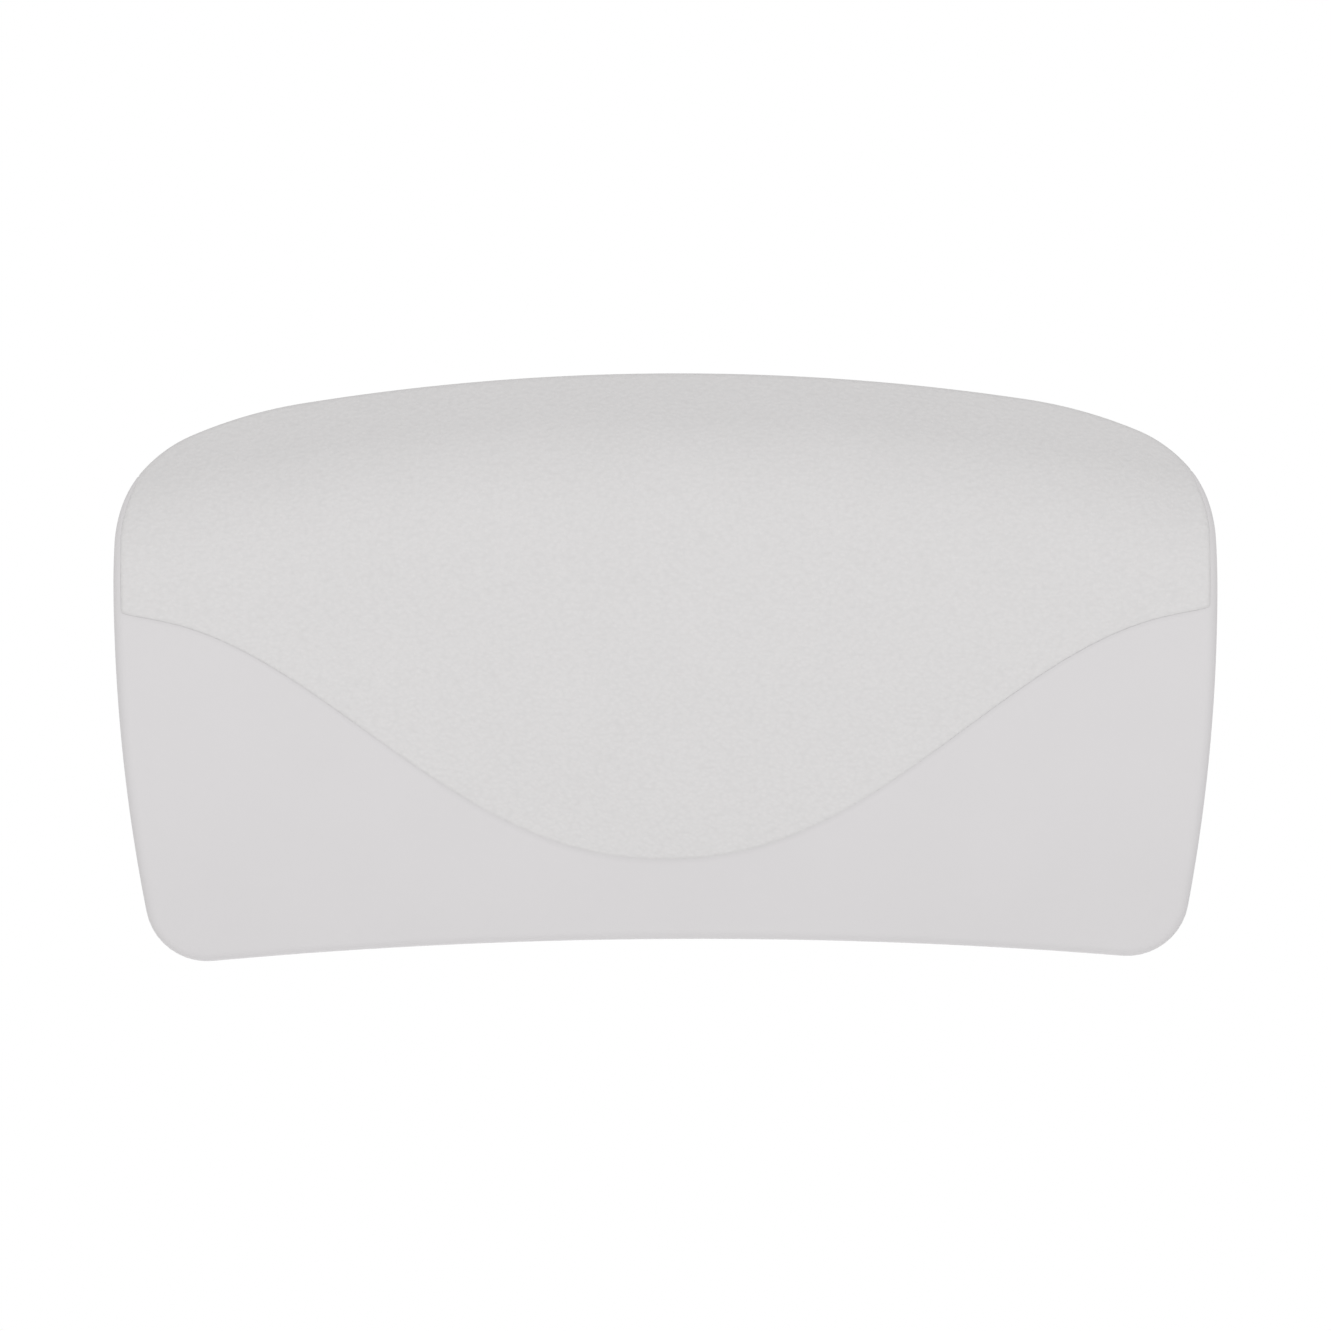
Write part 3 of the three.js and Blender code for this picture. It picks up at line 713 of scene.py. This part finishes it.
def land(grow):
    """Outline of the plate's flat land, grown by a distance."""
    return rounded_rectangle(LAND_LENGTH + 2 * grow, LAND_HEIGHT + 2 * grow, LAND_CORNER + grow)


plug_places = [-PLUG_SPACING / 2, PLUG_SPACING / 2]


def plate_space(margin):
    """The carrier plate without its holes, grown by a margin, with a mouth that opens at the back face."""
    mouth = [(land(margin), -PLATE_WALL - margin)]
    for angle in np.linspace(0, math.pi / 2, EDGE_ROWS + 1):
        flare = POCKET_EDGE * (1 - math.cos(angle))
        mouth.append((land(margin + flare), POCKET_EDGE * (math.sin(angle) - 1)))
    mouth.append((mouth[-1][0], OVERCUT))
    space = prism("plate_space", mouth)
    flange = prism("flange", [
        (land(FLANGE_WIDTH + margin), margin - PLATE_WALL),
        (land(FLANGE_WIDTH + margin), -2 * PLATE_WALL - margin),
    ])
    kept = prism("kept", [
        (land(-PLATE_WALL - margin), -PLATE_WALL - margin),
        (land(-PLATE_WALL - margin), -3 * PLATE_WALL),
    ])
    space = combine(space, combine(flange, kept, "DIFFERENCE"), "UNION")
    rib_end = -PLATE_WALL - RIB_HEIGHT - margin
    rib = RIB_THICKNESS + 2 * margin
    square = np.array([[-1, -1], [1, -1], [1, 1], [-1, 1]]) / 2
    ribs = [square * [LAND_LENGTH - PLATE_WALL, rib]]
    ribs += [square * [rib, LAND_HEIGHT - PLATE_WALL] + [x, 0] for x in plug_places]
    for line in ribs:
        space = combine(space, prism("rib", [(line, -PLATE_WALL / 2), (line, rib_end)]), "UNION")
    for x in plug_places:
        for radius, depth in ((PAD_RADIUS, PAD_DEPTH), (BOSS_RADIUS, BOSS_DEPTH)):
            line = circle(radius + margin, (x, 0))
            seat = prism("seat", [(line, -PLATE_WALL / 2), (line, -depth - margin)])
            space = combine(space, seat, "UNION")
    return space


def cut_pocket(cushion):
    """Cuts the plate's pocket into the cushion, with posts of foam left standing in the key holes."""
    pocket = plate_space(CLEARANCE)
    reach_x, reach_z = KEY_HOLE_PLACE
    for x in (-reach_x, reach_x):
        for z in (-reach_z, reach_z):
            line = circle(KEY_HOLE_RADIUS - CLEARANCE, (x, z))
            post = prism("post", [(line, 2 * OVERCUT), (line, -PLATE_WALL - OVERCUT)])
            pocket = combine(pocket, post, "DIFFERENCE")
    return combine(cushion, pocket, "DIFFERENCE")


# Materials. Colours are linear, texture scales are per metre, and depths are in metres.

# Skin of the foam: faint clouds in its colour and gloss, and fine pores.
CLOUD_SCALE = 38
SKIN_ROUGHNESS = (0.55, 0.68)
SKIN_SPECULAR = 0.3
PORE_SCALE = 2600
PORE_STRENGTH = 0.04
PORE_DEPTH = 0.0002

# Leather grain of the head panel: small cells, a little wider than high, with painted light on their tops
# and painted shade in their valleys.
GRAIN_SCALE = 860
GRAIN_STRETCH = (1, 1, 1.3)
GRAIN_REACH = 0.8
GRAIN_PAINTED_LIGHT_AND_SHADE = (1.025, 0.96)
GRAIN_STRENGTH = 0.5
GRAIN_DEPTH = 0.0003

# Mottling of the fittings: the span of noise that it takes in, and how much it shows in colour, gloss and
# surface.
MOTTLE_SPAN = (0.35, 0.65)
MOTTLE_TINT = 0.13
MOTTLE_GLOSS = 0.06
MOTTLE_STRENGTH = 0.25


def new_material(name):
    material = bpy.data.materials.new(name)
    material.use_nodes = True
    nodes = material.node_tree.nodes
    return material, nodes, material.node_tree.links, nodes["Principled BSDF"]


def add_node(nodes, kind, **inputs):
    """A new node with values on its inputs. An underscore stands for the space in an input's name."""
    node = nodes.new(kind)
    for key, value in inputs.items():
        node.inputs[key.replace("_", " ")].default_value = value
    return node


def add_noise(nodes, links, place, **inputs):
    noise = add_node(nodes, "ShaderNodeTexNoise", **inputs)
    links.new(place, noise.inputs["Vector"])
    return noise.outputs["Fac"]


def add_range(nodes, links, value, **inputs):
    mapped = add_node(nodes, "ShaderNodeMapRange", **inputs)
    links.new(value, mapped.inputs["Value"])
    return mapped.outputs["Result"]


def add_tint(nodes, links, share, dark, light):
    """A colour between two others, by a share."""
    tint = nodes.new("ShaderNodeMix")
    tint.data_type = "RGBA"
    tint.inputs["A"].default_value = (*dark, 1)
    tint.inputs["B"].default_value = (*light, 1)
    links.new(share, tint.inputs["Factor"])
    return tint.outputs["Result"]


def add_bump(nodes, links, height, **inputs):
    bump = add_node(nodes, "ShaderNodeBump", **inputs)
    links.new(height, bump.inputs["Height"])
    return bump


def add_grain(nodes, links, place, colour, bump):
    """Leather grain over a skin's bump, with painted light on the cell tops and painted shade in the valleys
    of its colour. Returns the new colour and bump.
    """
    stretch = add_node(nodes, "ShaderNodeMapping", Scale=GRAIN_STRETCH)
    links.new(place, stretch.inputs["Vector"])
    cells = add_node(nodes, "ShaderNodeTexVoronoi", Scale=GRAIN_SCALE, Randomness=1)
    cells.feature = "SMOOTH_F1"
    links.new(stretch.outputs["Vector"], cells.inputs["Vector"])
    depth = cells.outputs["Distance"]
    # Painted light on the grain's tops and painted shade in its valleys, multiplied into the colour.
    painted_shade = add_range(nodes, links, depth, From_Min=0, From_Max=GRAIN_REACH,
                      To_Min=GRAIN_PAINTED_LIGHT_AND_SHADE[0], To_Max=GRAIN_PAINTED_LIGHT_AND_SHADE[1])
    painted_grain_colour = nodes.new("ShaderNodeVectorMath")
    painted_grain_colour.operation = "SCALE"
    links.new(colour, painted_grain_colour.inputs[0])
    links.new(painted_shade, painted_grain_colour.inputs["Scale"])
    leather = add_bump(nodes, links, depth, Strength=GRAIN_STRENGTH, Distance=GRAIN_DEPTH)
    leather.invert = True
    links.new(bump.outputs["Normal"], leather.inputs["Normal"])
    return painted_grain_colour.outputs["Vector"], leather


def skin_material(name, dark, light, grain):
    """Pale moulded skin: faint clouds in its colour, uneven gloss, fine pores, and grain with painted shade
    in its valleys if asked for.
    """
    material, nodes, links, shader = new_material(name)
    place = nodes.new("ShaderNodeTexCoord").outputs["Object"]
    cloud = add_noise(nodes, links, place, Scale=CLOUD_SCALE, Detail=3, Roughness=0.5)
    colour = add_tint(nodes, links, cloud, dark, light)
    gloss = add_range(nodes, links, cloud, To_Min=SKIN_ROUGHNESS[0], To_Max=SKIN_ROUGHNESS[1])
    links.new(gloss, shader.inputs["Roughness"])
    shader.inputs["Specular IOR Level"].default_value = SKIN_SPECULAR
    pores = add_noise(nodes, links, place, Scale=PORE_SCALE, Detail=2, Roughness=0.55)
    bump = add_bump(nodes, links, pores, Strength=PORE_STRENGTH, Distance=PORE_DEPTH)
    if grain:
        colour, bump = add_grain(nodes, links, place, colour, bump)
    links.new(colour, shader.inputs["Base Color"])
    links.new(bump.outputs["Normal"], shader.inputs["Normal"])
    return material


def moulded_material(name, colour, roughness, scale, depth, metallic=0.0):
    """Moulded plastic, rubber or metal: fine mottling in its colour, gloss and surface."""
    material, nodes, links, shader = new_material(name)
    place = nodes.new("ShaderNodeTexCoord").outputs["Object"]
    noise = add_noise(nodes, links, place, Scale=scale, Detail=3, Roughness=0.6)
    mottle = add_range(nodes, links, noise, From_Min=MOTTLE_SPAN[0], From_Max=MOTTLE_SPAN[1])
    dark = [c * (1 - MOTTLE_TINT) for c in colour]
    light = [c * (1 + MOTTLE_TINT) for c in colour]
    links.new(add_tint(nodes, links, mottle, dark, light), shader.inputs["Base Color"])
    gloss = add_range(nodes, links, mottle, To_Min=roughness - MOTTLE_GLOSS, To_Max=roughness + MOTTLE_GLOSS)
    links.new(gloss, shader.inputs["Roughness"])
    shader.inputs["Metallic"].default_value = metallic
    bump = add_bump(nodes, links, mottle, Strength=MOTTLE_STRENGTH, Distance=depth)
    links.new(bump.outputs["Normal"], shader.inputs["Normal"])
    return material


def dress(thing, material):
    thing.data.materials.clear()
    thing.data.materials.append(material)


cushion_skin = skin_material(
    "cushion_skin", dark=(0.68, 0.665, 0.672), light=(0.702, 0.686, 0.694), grain=False)
grained_skin = skin_material(
    "grained_skin", dark=(0.69, 0.679, 0.679), light=(0.714, 0.702, 0.702), grain=True)
plate_plastic = moulded_material(
    "plate_plastic", colour=(0.07, 0.075, 0.08), roughness=0.5, scale=700, depth=0.0004)
plug_plastic = moulded_material(
    "plug_plastic", colour=(0.017, 0.018, 0.019), roughness=0.42, scale=900, depth=0.0001)
seal_rubber = moulded_material(
    "seal_rubber", colour=(0.01, 0.01, 0.011), roughness=0.75, scale=2200, depth=0.0001)
screw_steel = moulded_material(
    "screw_steel", colour=(0.5, 0.51, 0.52), roughness=0.28, scale=900, depth=0.00002, metallic=1.0)
insert_brass = moulded_material(
    "insert_brass", colour=(0.43, 0.27, 0.06), roughness=0.32, scale=900, depth=0.00002, metallic=1.0)

# Pieces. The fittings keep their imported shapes.

cushion = cut_pocket(make_cushion())
smoothed(cushion, CUSHION_SHARP)
dress(cushion, cushion_skin)
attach(cushion, "root")
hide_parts("cushion_body")

panel = make_panel()
smoothed(panel, PANEL_SHARP)
dress(panel, grained_skin)
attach(panel, "root")
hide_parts("head_panel")

dress(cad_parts["carrier_plate"], plate_plastic)
for side in ("left", "right"):
    dress(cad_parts["mounting_plug_" + side], plug_plastic)
    dress(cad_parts["seal_ring_" + side], seal_rubber)
    dress(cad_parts["plug_screw_" + side], screw_steel)
    dress(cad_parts["threaded_insert_" + side], insert_brass)

# Stage, in metres: a pale floor well below the part, which hangs on a wall, and a white background.

FLOOR_DROP = 0.4
FLOOR_RADIUS = 1.25
FLOOR_SIDES = 128
FLOOR_FADE = (0.3, 1.2)
FLOOR_COLOUR = (0.85, 0.85, 0.85, 1)
FLOOR_ROUGHNESS = 0.9
WHITE = (1, 1, 1, 1)
AMBIENT = 0.718


def camera_sees(nodes, links):
    """One where the camera sees a surface, straight, in a reflection or through glass."""
    path = nodes.new("ShaderNodeLightPath")
    seen = path.outputs["Is Camera Ray"]
    for ray in ("Is Glossy Ray", "Is Transmission Ray"):
        either = nodes.new("ShaderNodeMath")
        either.operation = "MAXIMUM"
        links.new(seen, either.inputs[0])
        links.new(path.outputs[ray], either.inputs[1])
        seen = either.outputs["Value"]
    return seen


def floor_material():
    """Pale matt paint, which fades to the white of the background away from the part."""
    material, nodes, links, shader = new_material("floor_paint")
    shader.inputs["Base Color"].default_value = FLOOR_COLOUR
    shader.inputs["Roughness"].default_value = FLOOR_ROUGHNESS
    flat_place = nodes.new("ShaderNodeVectorMath")
    flat_place.operation = "MULTIPLY"
    flat_place.inputs[1].default_value = (1, 1, 0)
    links.new(nodes.new("ShaderNodeTexCoord").outputs["Object"], flat_place.inputs[0])
    away = nodes.new("ShaderNodeVectorMath")
    away.operation = "LENGTH"
    links.new(flat_place.outputs["Vector"], away.inputs[0])
    fade = add_node(nodes, "ShaderNodeMapRange", From_Min=FLOOR_FADE[0], From_Max=FLOOR_FADE[1])
    fade.interpolation_type = "SMOOTHSTEP"
    links.new(away.outputs["Value"], fade.inputs["Value"])
    seen_fade = nodes.new("ShaderNodeMath")
    seen_fade.operation = "MULTIPLY"
    links.new(fade.outputs["Result"], seen_fade.inputs[0])
    links.new(camera_sees(nodes, links), seen_fade.inputs[1])
    white = nodes.new("ShaderNodeEmission")
    mix = nodes.new("ShaderNodeMixShader")
    links.new(seen_fade.outputs["Value"], mix.inputs["Fac"])
    links.new(shader.outputs["BSDF"], mix.inputs[1])
    links.new(white.outputs["Emission"], mix.inputs[2])
    links.new(mix.outputs["Shader"], nodes["Material Output"].inputs["Surface"])
    return material


def make_floor():
    rim = FLOOR_RADIUS * unit(np.linspace(0, 2 * math.pi, FLOOR_SIDES, endpoint=False))
    mesh = bpy.data.meshes.new("floor")
    mesh.from_pydata([(x, y, -FLOOR_DROP) for x, y in rim.tolist()], [], [list(range(FLOOR_SIDES))])
    thing = bpy.data.objects.new("floor", mesh)
    bpy.context.scene.collection.objects.link(thing)
    dress(thing, floor_material())
    return thing


def make_world():
    """Even light from all round, and white where the camera sees past the part."""
    world = bpy.data.worlds.new("studio")
    bpy.context.scene.world = world
    world.use_nodes = True
    nodes, links = world.node_tree.nodes, world.node_tree.links
    ambient = nodes["Background"]
    ambient.inputs["Color"].default_value = WHITE
    ambient.inputs["Strength"].default_value = AMBIENT
    white = add_node(nodes, "ShaderNodeBackground", Color=WHITE, Strength=1)
    mix = nodes.new("ShaderNodeMixShader")
    links.new(camera_sees(nodes, links), mix.inputs["Fac"])
    links.new(ambient.outputs["Background"], mix.inputs[1])
    links.new(white.outputs["Background"], mix.inputs[2])
    links.new(mix.outputs["Shader"], nodes["World Output"].inputs["Surface"])


def soft_light(name, place, target, size, power):
    """A rectangular lamp that faces a point and doesn't show in the picture."""
    lamp = bpy.data.lights.new(name, "AREA")
    lamp.shape = "RECTANGLE"
    lamp.size, lamp.size_y = size
    lamp.energy = power
    thing = bpy.data.objects.new(name, lamp)
    bpy.context.scene.collection.objects.link(thing)
    thing.visible_camera = False
    thing.location = place
    away = np.array(place) - np.array(target)
    tilt = math.atan2(math.hypot(away[0], away[1]), away[2])
    thing.rotation_euler = (tilt, 0, math.atan2(away[0], -away[1]))


floor = make_floor()
make_world()
soft_light("front_light", place=(0, -2.6, 0), target=(0, 0, 0), size=(1.6, 1.6), power=20.3)
soft_light("right_light", place=(1.5, 2, 0.1), target=(0, 0, 0), size=(1.4, 1.4), power=3.6)
soft_light("left_light", place=(-1.5, 2, 0.1), target=(0, 0, 0), size=(1.4, 1.4), power=3.6)
soft_light("low_light", place=(0, 0.19, -0.27), target=(0, 0, -0.08), size=(0.6, 0.28), power=0.57)

# Camera: straight in front, about level with the middle, as far off as the photograph's flat look asks.
# The photograph's side is in pixels, and its scale in millimetres to a pixel.

PHOTO_SIDE = 1331
PHOTO_SCALE = 0.2627
LENS = 135
SENSOR = 36
SIDE_EDGE_DEPTH = 51
AXIS_HEIGHT = 77.9
AXIS_OFFSET = -0.1
ROLL = math.radians(0.33)

lens = bpy.data.cameras.new("camera")
lens.lens = LENS
lens.sensor_width = SENSOR
camera = bpy.data.objects.new("camera", lens)
bpy.context.scene.collection.objects.link(camera)
distance = PHOTO_SIDE * PHOTO_SCALE * LENS / SENSOR + SIDE_EDGE_DEPTH
camera.location = (AXIS_OFFSET * MM, -distance * MM, level(AXIS_HEIGHT) * MM)
camera.rotation_euler = (math.pi / 2, ROLL, 0)
bpy.context.scene.camera = camera
bpy.context.scene.view_settings.view_transform = "Standard"
